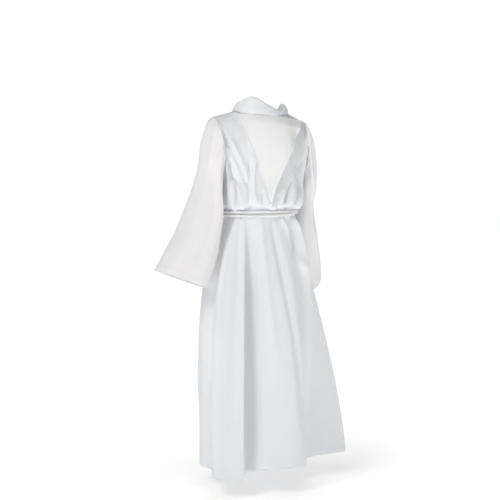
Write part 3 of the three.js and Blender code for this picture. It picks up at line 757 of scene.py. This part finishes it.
# reach as a part of the row's, and rise from the foot to the crest
ROLL_SECTION = np.array([(-0.24, 0.06), (-0.31, 0.45), (-0.22, 0.85), (0.06, 1.0),
                         (0.36, 0.86), (0.66, 0.56), (0.90, 0.22), (1.0, 0.0)])
ROLL_FALL = 0.016  # the most it falls below the neckline where it hangs clear
ROLL_GAP = 0.0006  # between its lower edge and what that lies on
ROLL_COLUMNS, ROLL_LAYERS = 200, 48
ROLL_TURNOVER = 0.43  # the way from the foot to where the outer side starts
# Wrinkles: from (turn, way over the roll in hundredths) to the same, half width, height, bow.
ROLL_WRINKLES = [
    (20, 60, 62, 92, 9, -1.2, 3), (350, 62, 14, 80, 8, 0.9, 3), (60, 40, 96, 76, 9, 1.0, 4),
    (300, 50, 338, 84, 9, -1.2, -3), (262, 60, 292, 88, 8, 1.0, 3), (110, 55, 160, 80, 9, -1.2, 4),
    (196, 55, 244, 84, 9, -1.0, -4), (330, 30, 20, 40, 8, 0.8, 3)]


def neck_ring(turn):
    """The neckline at a turn round the neck from centre back."""
    angle = np.radians(turn)
    from_centre = np.degrees(np.arcsin(np.clip(np.abs(np.sin(angle)), 0, 1)))
    squeezed = from_centre * (NECK_TURN - 1e-6) / 90
    side = np.where(np.sin(angle) < 0, -1.0, 1.0)
    return top_edge(side * np.where(np.cos(angle) >= 0, squeezed, 180 - squeezed))


def height_under(x, y, low):
    """The height of the cloth under a place beside the neck, or low where there is none."""
    heights = [low]
    for aside in (-0.003, 0.003):
        for cloth in (back, front, hood):
            hit, place, _, _ = cloth.ray_cast(Vector((x, y + aside, 0.08)), Vector((0, 0, -1)))
            heights.append(place[2] if hit else low)
    return max(heights)


def place_roll(u, v):
    """The roll from its inner foot over the crest to its lower edge, which lies on the cloth."""
    turn = -360 * u
    angle = np.radians(turn)
    out = np.stack([np.sin(angle), np.cos(angle), 0 * angle], axis=1)
    neck = neck_ring(turn)
    row_turns = np.concatenate([ROLL_ROWS[:, 0], [360]])
    row = np.interp(turn % 360, row_turns, np.arange(len(row_turns))) % len(ROLL_ROWS)
    crest, reach = spline(ROLL_ROWS[:, 1:], row, closed=True).T
    column = np.rint(u * ROLL_COLUMNS).astype(int)
    edge_x, edge_y, _ = (neck + reach[:, None] * out).T
    edges = {}
    for key, x, y, low in zip(column, edge_x, edge_y, neck[:, 2] - ROLL_FALL):
        if key not in edges:
            edges[key] = height_under(x, y, low) + ROLL_GAP
    foot = np.array([edges[key] for key in column])
    part, rise = spline(ROLL_SECTION, v * (len(ROLL_SECTION) - 1)).T
    base = np.where(v < ROLL_TURNOVER, neck[:, 2], foot)
    points = neck + out * (part * reach)[:, None]
    points[:, 2] = base + (neck[:, 2] + crest - base) * rise
    wave = crease_height(turn % 360, 100 * v, ROLL_WRINKLES)
    wave += soft_waves(points, 0.03, 1.0, 1.0)
    points += out * (wave / 1000 * np.clip((v - 0.3) / 0.2, 0, 1))[:, None]
    return points


roll = cloth_grid("neck_roll_panel", ROLL_COLUMNS, ROLL_LAYERS, place_roll, closed=True)
bpy.ops.object.mode_set(mode="EDIT")
bpy.ops.mesh.select_all(action="SELECT")
bpy.ops.mesh.flip_normals()
bpy.ops.object.mode_set(mode="OBJECT")
give_thickness(roll, CLOTH)
finish_cloth(roll, "neck_roll", poly_cotton("roll cloth", 0.5, 0.09))

# ---------------------------------------------------------------------------
# Cincture: the white cord goes twice round the waist under the blousing cloth
# and is tied at the front in one plain knot.
# ---------------------------------------------------------------------------
WRAP_WIDTH, WRAP_DEPTH, WRAP_TOP, WRAP_PITCH = 0.1105, 0.0865, 0.2705, 0.0073
KNOT_PLACE = (0, -0.0976, -0.278)
KNOT_SIZE = (0.0075, 0.0045, 0.0080)
WRAP_SLOPE, WRAP_SPREAD, WRAP_WANDER = 0.0035, 0.0042, 0.0008
rounds = np.linspace(0, 2, 900)
angle = 2 * np.pi * rounds
# the rounds slope down to the wearer's left, spread apart there and cross behind
slack = -WRAP_SLOPE * np.sin(angle) + WRAP_SPREAD * (1 - rounds) * np.sin(angle - 0.5)
slack += np.sin(5 * angle / 2) * WRAP_WANDER
wrap_path = np.stack([WRAP_WIDTH * np.sin(angle), -WRAP_DEPTH * np.cos(angle),
                      -WRAP_TOP - WRAP_PITCH * rounds + slack], axis=1)
wraps = finish_cord(laid_cord("cord_wraps", wrap_path))
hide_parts("cincture_wraps")
turns = np.linspace(0, 2 * np.pi, 90)
knot_path = np.array(KNOT_PLACE) + np.array(KNOT_SIZE) * np.stack([
    (np.sin(turns) + 2 * np.sin(2 * turns)) / 3, np.sin(3 * turns),
    (np.cos(turns) - 2 * np.cos(2 * turns)) / 3], axis=1)
knot = finish_cord(laid_cord("cord_knot", knot_path))
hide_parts("cincture_knot")

# ---------------------------------------------------------------------------
# Studio: a white floor under the hem, a soft key light from behind the wearer's
# left, a wide one overhead, a low one from behind the right, and a white surround.
# ---------------------------------------------------------------------------
FLOOR_DROP = 1.060
# how far from the robe the floor's painted soft shadow reaches, and the floor's painted glow inside
# and past it
PAINTED_SHADOW_INNER, PAINTED_SHADOW_OUTER = 0.3, 0.95
PAINTED_GLOW_INNER, PAINTED_GLOW_OUTER = 0.48, 0.78
bpy.ops.object.select_all(action="DESELECT")
bpy.ops.mesh.primitive_plane_add(size=30, location=(0, 0, -FLOOR_DROP))
floor = bpy.context.object
floor.name = "floor"
floor_paint_and_glow, floor_tree, floor_surface = new_material("floor paint with painted glow", Roughness=0.9)
floor_surface.inputs["Base Color"].default_value = (0.95, 0.945, 0.935, 1)
# The floor glows with painted light though it is no lamp, and its painted glow is weaker near the
# robe, which paints a soft shadow round the hem.
floor_surface.inputs["Emission Strength"].default_value = 1.0
floor_place = shader_node(floor_tree, "ShaderNodeTexCoord", output="Object")
from_robe = shader_node(floor_tree, "ShaderNodeVectorMath", {"operation": "LENGTH"}, output=1,
                        Vector=floor_place)
painted_glow = shader_node(floor_tree, "ShaderNodeMapRange", Value=from_robe, From_Min=PAINTED_SHADOW_INNER,
                   From_Max=PAINTED_SHADOW_OUTER, To_Min=PAINTED_GLOW_INNER, To_Max=PAINTED_GLOW_OUTER)
feed(floor_tree, floor_surface.inputs["Emission Color"], painted_glow)
floor.data.materials.append(floor_paint_and_glow)


def soft_light(name, turn, height, distance, size, power, colour):
    """A square soft light that faces the middle of the robe."""
    spot = Vector((math.sin(math.radians(turn)), -math.cos(math.radians(turn)), 0)) * distance
    spot.z = height
    bpy.ops.object.light_add(type="AREA", location=spot)
    light = bpy.context.object
    light.name = name
    light.data.size = size
    light.data.energy = power
    light.data.color = colour
    light.rotation_euler = (Vector((0, 0, -0.5)) - spot).to_track_quat("-Z", "Y").to_euler()


soft_light("key light", turn=124, height=1.6, distance=3.0, size=1.0, power=38,
           colour=(1.0, 0.99, 0.98))
soft_light("overhead light", turn=130, height=3.2, distance=0.8, size=3.0, power=11,
           colour=(1.0, 1.0, 1.0))
soft_light("low light", turn=226, height=-0.98, distance=1.8, size=0.7, power=5.0,
           colour=(1.0, 1.0, 1.0))
WORLD_LIGHT, WORLD_SEEN = 0.27, 1.05  # the surround's strength as light, and as the camera sees it
world = bpy.data.worlds.new("white surround")
bpy.context.scene.world = world
world.use_nodes = True
backdrop = world.node_tree.nodes["Background"]
seen = world.node_tree.nodes.new("ShaderNodeLightPath")
level = world.node_tree.nodes.new("ShaderNodeMapRange")
level.inputs["To Min"].default_value = WORLD_LIGHT
level.inputs["To Max"].default_value = WORLD_SEEN
world.node_tree.links.new(seen.outputs["Is Camera Ray"], level.inputs["Value"])
world.node_tree.links.new(level.outputs["Result"], backdrop.inputs["Strength"])
backdrop.inputs["Color"].default_value = (0.985, 0.993, 1.0, 1)
bpy.context.scene.view_settings.view_transform = "Standard"
